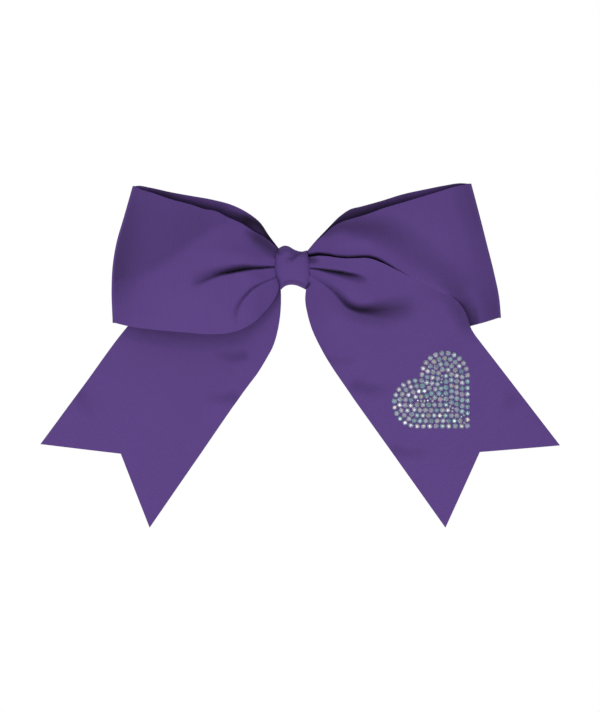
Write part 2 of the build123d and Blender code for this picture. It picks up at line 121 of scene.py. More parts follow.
def patch(bottom, top, start, end, s, v):
    """A surface between edge curves: bottom and top run from start to end, which run from bottom to top."""
    s, v = s[:, None, None], v[None, :, None]
    low, high = (at_share(edge, s[:, 0, 0])[:, None, :] for edge in (bottom, top))
    near, far = (at_share(edge, v[0, :, 0])[None, :, :] for edge in (start, end))
    corners = (1 - s) * ((1 - v) * bottom[0] + v * top[0]) + s * ((1 - v) * bottom[-1] + v * top[-1])
    return (1 - v) * low + v * high + (1 - s) * near + s * far - corners


class Crease:
    """A fold line seen from the front, with its values given at even steps along it.

    depth is how far its bottom lies back, and a crease without one only paints shade. left and right are its
    widths on each side of the line's direction, and a narrow side ends in a crisp lip. shade is the share of
    light taken off the cloth's colour at the bottom, as painted shade. A soft crease has a rounded bottom
    and shoulders.
    """

    def __init__(self, points, left, right, shade, depth=(0,), soft=False):
        self.line = spline(points, 90)
        self.depth = depth
        self.left = left
        self.right = right
        self.shade = shade
        self.soft = soft

    def at(self, x, z):
        """Depth and painted shade at each point."""
        flat = np.stack([x.ravel(), z.ravel()], axis=1)
        gap = flat[:, None, :] - self.line[None, :, :]
        near = (gap**2).sum(axis=2).argmin(axis=1)
        tangent = np.gradient(self.line, axis=0)[near]
        away = flat - self.line[near]
        side = tangent[:, 0] * away[:, 1] - tangent[:, 1] * away[:, 0]
        distance = np.linalg.norm(away, axis=1)
        share = near / (len(self.line) - 1)

        def step(values):
            return np.interp(share, np.linspace(0, 1, len(values)), values)

        width = np.where(side > 0, step(self.left), step(self.right))
        rise = 1 - np.clip(distance / width, 0, 1)
        push, lost = (ease(rise), ease(rise)) if self.soft else (rise**1.6, rise**1.25)
        return (step(self.depth) * push).reshape(x.shape), (step(self.shade) * lost).reshape(x.shape)


def ripple(points, depth, left, right, shade):
    """A slack ripple with painted shade that fades out along its line."""
    return Crease(points, left, right, [*shade, 0], depth=[depth, 0], soft=True)


def creased(creases, x, z):
    """The creases' depths added up, and their painted shades one over another."""
    depth, light = np.zeros(x.shape), np.ones(x.shape)
    for crease in creases:
        push, shade = crease.at(x, z)
        depth = depth + push
        light = light * (1 - shade)
    return depth, 1 - light


def swell(x, z, centre, size, height, turn):
    """A soft mound, height towards the viewer, over an ellipse turned by that many degrees."""
    c, s = math.cos(math.radians(turn)), math.sin(math.radians(turn))
    dx, dz = x - centre[0], z - centre[1]
    a, b = (dx * c + dz * s) / size[0], (-dx * s + dz * c) / size[1]
    return -height * np.exp(-(a * a + b * b))


CAMERA = np.array([3.7, -1102, -48.5])
SEEN_AT = -18


def as_seen(points):
    """Moves points so that the camera sees them where their outlines, drawn at the depth SEEN_AT, say."""
    scale = (points[..., 1] - CAMERA[1]) / (SEEN_AT - CAMERA[1])
    out = points.copy()
    for i in (0, 2):
        out[..., i] = CAMERA[i] + (points[..., i] - CAMERA[i]) * scale
    return out


# ======== meshes ========


def placed(name, data):
    """A new object in the scene."""
    thing = bpy.data.objects.new(name, data)
    bpy.context.scene.collection.objects.link(thing)
    return thing


def normals(points, closed):
    """The unit normal at each point of a grid."""
    rows = np.concatenate([points[-1:], points, points[:1]]) if closed else points
    du = np.gradient(rows, axis=0)
    du = du[1:-1] if closed else du
    dv = np.gradient(points, axis=1)
    n = np.cross(du, dv)
    return n / np.maximum(np.linalg.norm(n, axis=2, keepdims=True), 1e-9)


class Surface:
    """A piece of ribbon as a grid of points on its middle surface, with the ribbon's own u and v at each."""

    def __init__(self, name, points, u, v, shade=None, closed=False, thickness=RIBBON_T, inward=None):
        none = np.zeros(points.shape[:2])
        self.name = name
        self.points = points
        self.u = u
        self.v = v
        self.closed = closed
        self.thickness = thickness
        self.normals = normals(points, closed)
        self.shade = none if shade is None else shade  # painted shade: light taken off the colour in the creases
        self.inward = none if inward is None else inward  # 1 where only the inner face has that painted shade
        self.open = [1 - none, 1 - none]  # share of the open air that each face sees, for the painted occlusion shade
        self.bare = none.copy()  # 1 where the painted occlusion shade is left off

    def quads(self):
        """The grid's cells as vertex numbers, right round where the surface is a ring."""
        rows, columns = self.points.shape[:2]
        i = np.arange(rows if self.closed else rows - 1)[:, None]
        j = np.arange(columns - 1)[None, :]
        k = (i + 1) % rows
        a, b = i * columns + j, k * columns + j
        return np.stack([a, b, b + 1, a + 1], axis=-1).reshape(-1, 4)

    def build(self):
        """The closed mesh: both faces of the cloth and its edges."""
        rows, columns = self.points.shape[:2]
        count = rows * columns
        half = self.normals * self.thickness / 2
        places = np.concatenate([(self.points + half).reshape(-1, 3), (self.points - half).reshape(-1, 3)])
        cells = self.quads()
        faces = [cells, cells[:, ::-1] + count]

        def rim(line):
            a, b = line[:-1], line[1:]
            faces.append(np.stack([a, a + count, b + count, b], axis=1))

        along = np.arange(rows) * columns
        along = np.append(along, along[0]) if self.closed else along
        rim(along)
        rim((along + columns - 1)[::-1])
        if not self.closed:
            rim(np.arange(columns)[::-1])
            rim((rows - 1) * columns + np.arange(columns))
        faces = np.concatenate(faces)
        mesh = bpy.data.meshes.new(self.name)
        mesh.from_pydata((places * MM).tolist(), [], faces.tolist())
        corner = faces.ravel() % count
        flat = np.stack([self.u.ravel()[corner], self.v.ravel()[corner]], axis=1)
        if self.closed:
            high = (corner.reshape(-1, 4) // columns).max(axis=1) == rows - 1
            back_at_start = np.repeat(high, 4) & (corner // columns == 0)
            flat[back_at_start, 0] = self.u.max() + self.u[1, 0] - self.u[0, 0]
        uv = mesh.uv_layers.new(name="ribbon")
        uv.data.foreach_set("uv", (flat * MM).ravel())
        # painted shade: the creases' shade and the baked occlusion darken the cloth's colour through a mesh
        # attribute
        light = []
        for sign, seen in zip((1, -1), self.open):
            outer = self.inward * (sign * self.normals[..., 1] > 0)
            seen = seen + (1 - seen) * self.bare
            light.append(((1 - self.shade * (1 - outer)) * seen).ravel())
        light = np.concatenate(light)
        painted_shade = mesh.attributes.new("painted_shade", "FLOAT", "POINT")
        painted_shade.data.foreach_set("value", (1 - light).astype(np.float32))
        pairs = np.empty(len(mesh.edges) * 2, int)
        mesh.edges.foreach_get("vertices", pairs)
        pairs = pairs.reshape(-1, 2) % count
        i, j = pairs // columns, pairs % columns
        ends = [j == 0, j == columns - 1] + ([] if self.closed else [i == 0, i == rows - 1])
        sharp = mesh.attributes.new("sharp_edge", "BOOLEAN", "EDGE")
        sharp.data.foreach_set("value", np.any([end.all(axis=1) for end in ends], axis=0))
        mesh.polygons.foreach_set("use_smooth", [True] * len(mesh.polygons))
        mesh.materials.append(grosgrain)
        piece = placed(self.name, mesh)
        return piece


RAYS = 36
RAY_START, REACH = 0.45, 60  # where rays start off the cloth and where they end
SAMPLE = 3  # one row and column in this many casts rays
OCCLUSION_SHADE_GAIN, OCCLUSION_SHADE_POWER = 1.25, 0.9  # how the share of rays that get away becomes painted light on the cloth


def bake_occlusion_shade(surfaces):
    """How much of the open air each face of the cloth sees, painted into its colour as shade inside loops
    and folds.
    """
    places, cells, first = [], [], 0
    for surface in surfaces:
        places.append(surface.points.reshape(-1, 3))
        cells.append(surface.quads() + first)
        first += len(places[-1])
    tree = BVHTree.FromPolygons(np.concatenate(places).tolist(), np.concatenate(cells).tolist())
    k = np.arange(RAYS) + 0.5
    radius, turn = np.sqrt(k / RAYS), k * math.pi * (3 - math.sqrt(5))
    lobe = np.stack([radius * np.cos(turn), radius * np.sin(turn), np.sqrt(1 - k / RAYS)], axis=1)
    for surface in surfaces:
        rows, columns = surface.points.shape[:2]
        pick_i = np.unique(np.append(np.arange(0, rows, SAMPLE), rows - 1))
        pick_j = np.unique(np.append(np.arange(0, columns, SAMPLE), columns - 1))
        p = surface.points[pick_i][:, pick_j].reshape(-1, 3)
        n = surface.normals[pick_i][:, pick_j].reshape(-1, 3)
        across = np.cross(n, [0.0, 0.3, 1.0])
        across /= np.linalg.norm(across, axis=1, keepdims=True)
        for side, sign in enumerate((1, -1)):
            axis = n * sign
            other = np.cross(axis, across)
            rays = sum(lobe[None, :, i:i + 1] * way[:, None] for i, way in enumerate((across, other, axis)))
            origins = p + axis * RAY_START
            seen = []
            for origin, directions in zip(origins.tolist(), rays.tolist()):
                hits = sum(tree.ray_cast(origin, d, REACH)[0] is not None for d in directions)
                seen.append(1 - hits / RAYS)
            grid = np.array(seen).reshape(len(pick_i), len(pick_j))
            wide = np.stack([np.interp(np.arange(columns), pick_j, row) for row in grid])
            full = np.stack([np.interp(np.arange(rows), pick_i, column) for column in wide.T], axis=1)
            surface.open[side] = np.clip(full * OCCLUSION_SHADE_GAIN, 0, 1) ** OCCLUSION_SHADE_POWER


# ======== materials ========


class Shading:
    """A material with a Principled shader, and short ways to add the nodes that feed it."""

    def __init__(self, name):
        self.material = bpy.data.materials.new(name)
        self.material.use_nodes = True
        self.tree = self.material.node_tree
        self.shader = self.tree.nodes["Principled BSDF"]

    def feed(self, node, inputs):
        """Gives each named or numbered input its value, or links the socket given for it."""
        for key, value in inputs.items():
            if isinstance(value, bpy.types.NodeSocket):
                self.tree.links.new(value, node.inputs[key])
            else:
                node.inputs[key].default_value = value

    def add(self, kind, inputs, **settings):
        """A node's outputs."""
        node = self.tree.nodes.new(kind)
        for key, value in settings.items():
            setattr(node, key, value)
        self.feed(node, inputs)
        return node.outputs

    def maths(self, operation, *values):
        """The result of a Math node."""
        return self.add("ShaderNodeMath", dict(enumerate(values)), operation=operation)[0]

    def space(self):
        """The object's own coordinates, in metres."""
        return self.add("ShaderNodeTexCoord", {})["Object"]

    def noise(self, scale, detail=2, vector=None):
        """Noise from 0 to 1, over the object's bounding box unless a vector is given."""
        inputs = {"Scale": scale, "Detail": detail}
        if vector:
            inputs["Vector"] = vector
        return self.add("ShaderNodeTexNoise", inputs)["Fac"]

    def ramp(self, factor, low, high):
        """A colour that goes from low to high in the middle of the factor's range."""
        node = self.tree.nodes.new("ShaderNodeValToRGB")
        for element, position, colour in zip(node.color_ramp.elements, (0.3, 0.7), (low, high)):
            element.position = position
            element.color = (*colour, 1)
        self.feed(node, {0: factor})
        return node.outputs[0]

    def scaled(self, colour, tone):
        """A colour or colour socket times a tone."""
        return self.add("ShaderNodeVectorMath", {0: colour, "Scale": tone}, operation="SCALE")[0]

    def bump(self, height, strength, distance):
        """Relief on the shader, its distance in millimetres."""
        inputs = {"Strength": strength, "Distance": distance * MM, "Height": height}
        return self.add("ShaderNodeBump", inputs)[0]


GROSGRAIN = (0.109, 0.0535, 0.24)


def grosgrain_material():
    """Ribbed grosgrain: cords across the ribbon, bound by fine warp threads, with woven edges."""
    m = Shading("grosgrain")
    place = m.add("ShaderNodeUVMap", {}, uv_map="ribbon")[0]
    along, across, _ = m.add("ShaderNodeSeparateXYZ", {0: place})
    # cords, and warp threads that pass over one cord and under the next
    wave = m.maths("SINE", m.maths("MULTIPLY", along, math.pi / (RIB_PITCH * MM)))
    cord = m.maths("ABSOLUTE", wave)
    threads = m.maths("SINE", m.maths("MULTIPLY", across, 2 * math.pi / (WARP_PITCH * MM)))
    crossing = m.maths("MULTIPLY", threads, wave)
    # the cords shrink towards the woven edge
    edge = m.maths("SUBTRACT", RIBBON_W / 2 * MM, m.maths("ABSOLUTE", across))
    inside = m.add("ShaderNodeMapRange", {"Value": edge, "From Max": SELVEDGE_W * MM}, clamp=True)[0]
    relief = m.maths("MULTIPLY_ADD", crossing, 0.16, m.maths("MULTIPLY", cord, inside))
    # painted shade makes the grooves between cords a little darker, and yarn and dye are a little uneven
    dye = m.noise(38, 3, m.space())
    fine = (1 / (RIB_PITCH * MM), 55, 1)
    yarn = m.noise(1, 2, m.add("ShaderNodeVectorMath", {0: place, 1: fine}, operation="MULTIPLY")[0])
    tone = 0.84
    for value, weight in ((dye, 0.08), (yarn, 0.1), (cord, 0.14)):
        tone = m.maths("MULTIPLY_ADD", value, weight, tone)
    # painted shade from the mesh darkens the base colour
    painted_shade = m.add("ShaderNodeAttribute", {}, attribute_name="painted_shade")["Fac"]
    tone = m.maths("MULTIPLY", tone, m.maths("SUBTRACT", 1.0, painted_shade))
    m.feed(m.shader, {
        "Base Color": m.scaled(GROSGRAIN, tone), "Normal": m.bump(relief, 0.4, 0.14), "Roughness": 0.78,
        "Specular IOR Level": 0.22, "Sheen Weight": 0.12, "Sheen Roughness": 0.5,
        "Sheen Tint": (0.6, 0.5, 0.9, 1),
    })
    return m.material


def crystal_material():
    """Foil-backed crystal with an aurora-borealis coat. Each facet's colour, its tint with painted
    reflection and glints, is in the mesh.
    """
    m = Shading("ab_crystal")
    facet = m.add("ShaderNodeVertexColor", {}, layer_name="facet")[0]
    tone = m.maths("MULTIPLY_ADD", m.noise(900, 2, m.space()), 0.3, 0.85)
    m.feed(m.shader, {"Base Color": m.scaled(facet, tone), "Roughness": 0.2, "Specular IOR Level": 0.6,
                      "Coat Weight": 0.3, "Coat Roughness": 0.03})
    return m.material


def nickel_material(name, colour, scale, roughness):
    """Nickel-plated spring steel with faint rolling marks and handling scratches."""
    m = Shading(name)
    space = m.space()
    marks = m.noise(1, 4, m.add("ShaderNodeMapping", {"Vector": space, "Scale": scale})[0])
    both = m.maths("MULTIPLY", m.maths("ADD", marks, m.noise(260, 2, space)), 0.5)
    dark = tuple(0.72 * c for c in colour)
    m.feed(m.shader, {"Base Color": m.ramp(both, dark, colour), "Normal": m.bump(marks, 0.12, 0.05),
                      "Roughness": m.maths("MULTIPLY_ADD", marks, 0.25, roughness), "Metallic": 1.0})
    return m.material


def moulded_material(name, low, high, roughness, specular):
    """A moulded plastic or glue with a slightly uneven skin."""
    m = Shading(name)
    skin = m.noise(420, 4, m.space())
    m.feed(m.shader, {"Base Color": m.ramp(skin, low, high), "Normal": m.bump(skin, 0.2, 0.1),
                      "Roughness": roughness, "Specular IOR Level": specular})
    return m.material


grosgrain = grosgrain_material()

# ======== fold lines, as seen from the front, each with painted shade ===

LEFT_CREASES = [
    # the deep fold from the middle of the knot: crisp below, soft above
    Crease([(-8.5, 0.1), (-13, -0.1), (-18.2, -0.6), (-23.7, -1.1), (-29.2, -1.9), (-35, -3), (-40.2, -3.9),
            (-46, -5.6), (-57, -9.4)],
           depth=[1.5, 3, 4.5, 6.5, 6.5, 4.5, 3, 1.8, 0], left=[0.6, 0.6, 0.6, 0.7, 0.8, 1, 1.6, 3, 5],
           right=[1.2, 2, 3, 4.4, 5.2, 6, 7, 8, 8],
           shade=[0.85, 0.95, 0.96, 0.94, 0.82, 0.6, 0.46, 0.34, 0]),
    # the fine fold that turns down to the lower edge
    Crease([(-9, -5.4), (-13.5, -7.2), (-18.2, -9.3), (-22.5, -12), (-25.8, -15.3), (-29, -19.6),
            (-30.9, -24.5), (-31.2, -30)],
           depth=[0.8, 1, 1.3, 1.7, 1.8, 1.5, 0.9, 0], left=[0.5, 0.5, 0.5, 0.6, 0.7, 0.8, 1.2, 1.5],
           right=[1.3, 1.5, 1.7, 2, 2.4, 2.8, 3, 3.4],
           shade=[0.22, 0.22, 0.26, 0.3, 0.34, 0.32, 0.26, 0.08]),
    # the pleat that turns away beside the knot's upper end
    Crease([(-7, 7.8), (-10.5, 10), (-14.5, 12.8), (-19.5, 16.2), (-24.6, 19)],
           depth=[1.6, 1.8, 1.6, 1.2, 0.4], left=[5, 6.5, 6.5, 5.5, 3], right=[6, 7, 7, 6.5, 4],
           shade=[0.5, 0.52, 0.56, 0.56, 0.2], soft=True),
    # the turn of the cloth across the loop, above which it faces away a little and has painted shade
    Crease([(-38, 26.5), (-47, 23.5), (-58, 17.5), (-68, 10), (-78, 3.5), (-90, -3.5)],
           depth=[0.3, 0.7, 0.9, 0.9, 0.8, 0.2], left=[5, 7, 8, 8, 8, 8], right=[26, 40, 52, 56, 56, 50],
           shade=[0.1, 0.2, 0.22, 0.2, 0.2, 0.14], soft=True),
    # painted shade where the cloth turns back to the far fold
    Crease([(-98.5, -22), (-99.2, -8), (-98.6, 4), (-96.4, 16), (-92, 30), (-88, 41)],
           left=[20], right=[20], shade=[0.06, 0.3, 0.34, 0.24, 0.16, 0.1], soft=True),
]
RIGHT_TAIL_CREASES = [
    # the fold from the middle of the knot: crisp above, soft below
    Crease([(8.5, -0.2), (13, -0.5), (18.6, -1.2), (24.1, -2), (29.5, -3.1), (34.4, -4.2), (42, -6.6)],
           depth=[1.4, 2.8, 4.4, 4.6, 3.4, 1.8, 0], left=[0.5, 0.6, 0.9, 1.1, 1.3, 1.8, 2.5],
           right=[0.8, 1.5, 2.6, 3.4, 4.2, 4.6, 4], shade=[0.6, 0.84, 0.95, 0.92, 0.66, 0.42, 0]),
    # the fold that turns down towards the inner edge
    Crease([(9, -3.6), (13.5, -6.2), (18, -9.2), (22.6, -12.9), (26.4, -17), (30.3, -21), (34.8, -22.9),
            (42, -23.3), (50, -22.2), (60, -21.2), (68, -20.5)],
           depth=[0.6, 1, 1.6, 2.4, 3.6, 4.6, 4, 2.6, 1.5, 0.7, 0],
           left=[2.2, 2.6, 3.2, 3.8, 4.4, 4.4, 5, 6, 7.5, 8, 7],
           right=[1, 1.4, 1.6, 1.8, 2, 2.2, 3.4, 6, 8, 9, 8],
           shade=[0.06, 0.12, 0.2, 0.36, 0.56, 0.72, 0.7, 0.46, 0.3, 0.18, 0]),
    # the wide soft painted shadow round that fold's end
    Crease([(20, -14), (27, -20.5), (36, -24.5), (48, -24), (60, -22), (68, -20.5)],
           left=[6, 6, 7, 9, 10, 9], right=[7, 8, 10, 12, 12, 9],
           shade=[0.05, 0.14, 0.3, 0.36, 0.24, 0.05], soft=True),
    # the facet beside the knot, under the tail's upper edge, with painted shade
    Crease([(8, 4.4), (10.5, 4.2), (15, 3.8)],
           depth=[1.2, 1, 0], left=[3.2, 3, 1.4], right=[3.6, 3.4, 1.4], shade=[0.55, 0.5, 0], soft=True),
    # the corner under the knot's lower end, darkened with painted shade
    Crease([(7.6, -10.4), (8.6, -8.8), (9.4, -7.4)],
           depth=[1.6, 1.6, 0.2], left=[1.3, 1.5, 1], right=[1.3, 1.6, 1], shade=[0.75, 0.7, 0.1]),
    # the turn back along the outer edge, down onto the loop
    Crease([(72, -9.5), (80, -13), (88, -18), (92.5, -24.5), (95.8, -31), (98.5, -38)],
           depth=[0, 0.4, 0.6, 0.5, 0], left=[6, 7, 8, 8, 7], right=[7, 8, 9, 9, 7],
           shade=[0.04, 0.12, 0.22, 0.32, 0.3, 0.05], soft=True),
    # slack ripples along the inner edge and at the outer one
    ripple([(15, -49.5), (24, -50.5), (36, -49.5)], 0.8, (5, 4), (6, 4), (0.16, 0.12)),
    ripple([(35, -64), (45, -66.5), (56, -65)], 0.8, (6, 5), (7, 5), (0.2, 0.16)),
    ripple([(56, -99.5), (65, -101.5), (76, -100.5)], 0.6, (5, 4), (7, 5), (0.17, 0.13)),
    ripple([(120, -72), (117, -79), (113, -84)], 0.5, (7, 6), (7, 6), (0.12, 0.08)),
]
LEFT_TAIL_CREASES = [
    ripple([(-27.5, -47.5), (-34, -48.5), (-44, -46.5)], 0.8, (5, 4), (5, 4), (0.2, 0.16)),
    ripple([(-33, -70.5), (-41, -71.5), (-50, -70.5)], 0.8, (6, 4), (6, 4), (0.2, 0.14)),
    ripple([(-117, -70), (-113, -76), (-108, -82)], 0.5, (8, 6), (7, 6), (0.13, 0.08)),
]
RIGHT_LOOP_CREASES = [
    # the dip beside the tail's upper edge, with painted shadow in it
    Crease([(8, 6.4), (13.7, 7), (18.6, 6.6), (24.1, 5.7), (31, 5.3), (38, 5.5), (43, 5.2), (47.2, 3.9),
            (51, 2), (58.2, -1.9)],
           depth=[2.6, 3.8, 2.4, 1.4, 1.4, 2.2, 3.4, 3, 1.6, 0.2],
           left=[1.3, 1.6, 1.1, 0.9, 0.9, 1.2, 1.7, 1.5, 1.1, 0.7], right=[8] * 8 + [6, 4],
           shade=[0.8, 0.86, 0.66, 0.5, 0.5, 0.6, 0.74, 0.66, 0.5, 0.2]),
    # the soft valley curving under the loop's upper edge and down beside the tail
    Crease([(18, 20), (24, 22.8), (34, 23), (47, 21.6), (56, 17.6), (65, 11.6), (73, 5), (82, -2.8),
            (90, -10.6)],
           depth=[1, 1.4, 1.5, 1.5, 1.3, 1.2, 1, 0.6, 0.3], left=[6, 9, 11, 13, 14, 14, 14, 13, 10],
           right=[5, 6, 9, 13, 14, 14, 13, 10, 8],
           shade=[0.34, 0.4, 0.4, 0.36, 0.27, 0.2, 0.18, 0.2, 0.22], soft=True),
    # the crescent of painted shadow where the loop falls away behind the tail's lower edge
    Crease([(84, -9.5), (90, -14.5), (94.6, -20.5), (97, -28), (98.8, -36)],
           depth=[0.4, 1.2, 2.2, 2.6, 2], left=[6, 7, 7.5, 6.5, 4], right=[6, 8, 10, 10, 8],
           shade=[0.1, 0.16, 0.3, 0.34, 0.2], soft=True),
    # painted shade where the cloth turns back to the far fold, and on the lower corner that faces away
    Crease([(113.5, -27), (112.4, -14), (110, -2), (106, 14), (102, 29), (98, 43)],
           left=[16], right=[16], shade=[0.18, 0.16, 0.08, 0.1, 0.18, 0.2], soft=True),
    Crease([(100, -12), (106, -20), (112, -28)],
           left=[14, 16], right=[14, 16], shade=[0.06, 0.14, 0.14], soft=True),
]
# the painted shadow inside each loop, on its back layer, with the left side towards the upper edge
LEFT_INSIDE = [
    Crease([(-86.5, 44.2), (-78, 42), (-66, 38.6), (-56, 35.6), (-49.5, 33.6), (-44, 32.6)],
           left=[5, 7, 7.5, 7, 5, 3], right=[9], shade=[0.7, 0.9, 0.92, 0.92, 0.86, 0.2], soft=True),
    Crease([(-50, 34), (-40, 31), (-30, 26)],
           left=[10], right=[10], shade=[0.24, 0.3, 0.34], soft=True),
    Crease([(-30, 26.5), (-24, 22.5), (-18, 18.6), (-12, 13.2)],
           left=[5, 7, 7, 5], right=[8], shade=[0.1, 0.5, 0.52, 0.4], soft=True),
]
RIGHT_INSIDE = [
    Crease([(28, 26.5), (38, 30.2), (49, 33.6), (62, 37.6), (78, 42), (93, 46)],
           left=[9, 10, 9, 8, 6, 4], right=[10], shade=[0.3, 0.5, 0.6, 0.66, 0.72, 0.5], soft=True),
]

# ======== tails ========

TAIL_ROWS = 118
TAIL_COLUMNS = 220
RIGHT_TAIL_PLAN = [(6, -4.6), (14, -7.4), (24, -10), (38, -12.2), (55, -13), (80, -13.2), (110, -13),
                   (146, -9)]
LEFT_TAIL_PLAN = [(-146, 2.6), (-110, 4.6), (-60, 5.4), (-30, 4.6), (-6, 3.2)]
RESTING = 1.4  # how much further back the right tail's outer edge lies where it rests on the loop


def tail(name, inner, outer, notch, notch_share, straight, depth, creases, swells):
    """One tail. inner and outer are its edges from the tips back to the knot, and depth gives its Y.

    Along the straight part the cords run square across. Behind it the inner edge is gathered and they fan
    out.
    """
    inner, outer = spline(inner, 600), spline(outer, 600)
    inner_l, outer_l = length(inner), length(outer)
    v = np.linspace(0, 1, TAIL_ROWS)
    v[np.abs(v - notch_share).argmin()] = notch_share
    side = np.where(v < notch_share, notch_share, 1 - notch_share)
    end = notch * (1 - np.abs(v - notch_share) / side)
    t = np.linspace(0, 1, TAIL_COLUMNS)[:, None]
    back = end[None, :] + (outer_l - end[None, :]) * (1 - t)
    shrink = (inner_l - straight) / (outer_l - straight)
    inner_back = np.where(back < straight, back, straight + (back - straight) * shrink)
    a, b = at_share(inner, inner_back / inner_l), at_share(outer, back / outer_l)
    flat = a * (1 - v)[None, :, None] + b * v[None, :, None]
    x, z = flat[..., 0], flat[..., 1]
    push, shade = creased(creases, x, z)
    y = depth(x, v[None, :], back) + push + sum(swell(x, z, *m) for m in swells)
    points = as_seen(np.stack([x, y, z], axis=-1))
    grid_v = np.broadcast_to(((v - 0.5) * RIBBON_W)[None, :], back.shape)
    return Surface(name, points, back, grid_v, shade), outer_l


def right_tail_depth(x, v, back):
    """The right tail rises over its loop's front and is flat under the heart.

    Over the outer 38% of its width, from 62 to 170 mm behind the tips, it rests on the loop.
    """
    resting = ease((v - 0.62) / 0.38) * ease((back - 62) / 30) * ease((170 - back) / 40)
    return GATHER_Y + profile(RIGHT_TAIL_PLAN, x) + RESTING * resting


def left_tail_depth(x, v, back):
    """The left tail hangs behind its loop."""
    return GATHER_Y + profile(LEFT_TAIL_PLAN, x)


tail_right, right_tail_length = tail(
    "tail_right_ribbon",
    inner=[(83.4, -142.6), (55.7, -103.6), (28.3, -64.9), (20.3, -53), (14.6, -43), (10.4, -34), (8, -26),
           (6.6, -16.7), (7.2, -11.5), (7.9, -8.5)],
    outer=[(146.2, -97.5), (121.7, -65.7), (109.8, -50.2), (102.7, -41), (99.6, -36.9), (97.6, -33.6),
           (95.9, -28.8), (94, -24), (90.5, -19), (85, -14.6), (78, -11.2), (69.4, -7.8), (63, -4.6),
           (58.2, -2.1), (53.9, 0.05), (50.3, 1.9), (47.2, 3.2), (44.2, 4.4), (40.5, 5.2), (34.4, 5.1),
           (28.3, 5), (24.1, 5.4), (18.6, 6.2), (13.7, 6.4), (10.1, 5.9), (7.8, 5.7)],
    notch=22.7, notch_share=0.515, straight=78, depth=right_tail_depth, creases=RIGHT_TAIL_CREASES,
    swells=[((30, -9), (14, 5), 1, -35), ((20, -47), (5, 9), 1, 30), ((36, -69), (6, 7), 1, 35),
            ((64, -103), (8, 8), 0.9, 35), ((119, -74), (8, 10), 0.9, 35), ((20, -26), (8, 10), 1, 20)],
)
tail_left, left_tail_length = tail(
    "tail_left_ribbon",
    inner=[(-78.7, -142.6), (-51.6, -103.3), (-24.8, -64.9), (-19.6, -58), (-15, -50.5), (-11, -43),
           (-8.4, -34), (-7, -24.4), (-6.7, -15), (-7, -9)],
    outer=[(-138.6, -96.8), (-114.7, -64.4), (-91.1, -32.6), (-78, -18), (-62, -6), (-44, 1.6), (-24, 4.5),
           (-8, 5)],
    notch=22.6, notch_share=0.483, straight=80, depth=left_tail_depth, creases=LEFT_TAIL_CREASES,
    swells=[((-31, -56), (5, 9), 1, -32), ((-43, -73), (6, 8), 1, -35), ((-119, -74), (8, 9), 0.9, -35)],
)

# ======== loops ========

LOOP_ROWS = 124
LOOP_COLUMNS = 140
CROWDING = 1.15  # over 1, the columns stand closer together at the knot
FOLD_STEPS = 9
FOLD_R = 1.2
CROWN = 2.4  # how flat each layer is across its middle, where 2 is a parabola
CONTACT = 0.62  # between the middles of two layers of cloth that touch
FLUSH = 0.08  # between them just outside the edge of the upper one


def loop(side, name, fold, layers, creases, inside, swells, settle=None):
    """One loop of ribbon: front layer, far fold and back layer in one piece."""
    s = np.linspace(0, 1, LOOP_COLUMNS) ** CROWDING
    v = np.linspace(0, 1, LOOP_ROWS)
    far = spline(fold) - np.array([side * FOLD_R, 0])
    grids, shades = {}, {}
    for layer, shape in layers.items():
        bottom = spline([*shape["bottom"], tuple(far[0])])
        top = spline([*shape["top"], tuple(far[-1])])
        start = np.linspace(bottom[0], top[0], 50)
        flat = patch(bottom, top, start, far, s, v)
        x, z = flat[..., 0], flat[..., 1]
        middle = profile(shape["middle"], s)[:, None]
        edge = profile(shape["edge"], s)[:, None]
        y = GATHER_Y + edge + (middle - edge) * (1 - np.abs(2 * v - 1) ** CROWN)[None, :]
        if layer == "front":
            y = settle(x, z, y) if settle else y
            push, shades[layer] = creased(creases, x, z)
            y = y + push + sum(swell(x, z, *m) for m in swells)
        else:
            shades[layer] = creased(inside, x, z)[1]
        grids[layer] = as_seen(np.stack([x, y, z], axis=-1))
    front, back = grids["front"], grids["back"]
    turn = np.linspace(0, math.pi, FOLD_STEPS + 2)[1:-1][:, None]
    centre = (front[-1] + back[-1]) / 2
    half = (back[-1, :, 1] - front[-1, :, 1])[None, :] / 2
    arc = np.stack([
        centre[None, :, 0] + side * FOLD_R * np.sin(turn),
        centre[None, :, 1] - half * np.cos(turn),
        np.broadcast_to(centre[None, :, 2], (FOLD_STEPS, LOOP_ROWS)),
    ], axis=-1)
    points = np.concatenate([front, arc, back[::-1]])
    bright = np.zeros(arc.shape[:2])
    shade = np.concatenate([shades["front"], bright, shades["back"]])
    inward = np.concatenate([0 * shades["front"], bright, 0 * shades["back"] + 1])
    step = np.linalg.norm(np.diff(points, axis=0), axis=2).mean(axis=1)
    u = np.concatenate([[0], np.cumsum(step)])
    grid_u = np.repeat(u[:, None], LOOP_ROWS, axis=1)
    grid_v = np.repeat(((v - 0.5) * RIBBON_W)[None, :], len(u), axis=0)
    return Surface(name, points, grid_u, grid_v, shade, inward=inward), u[-1]


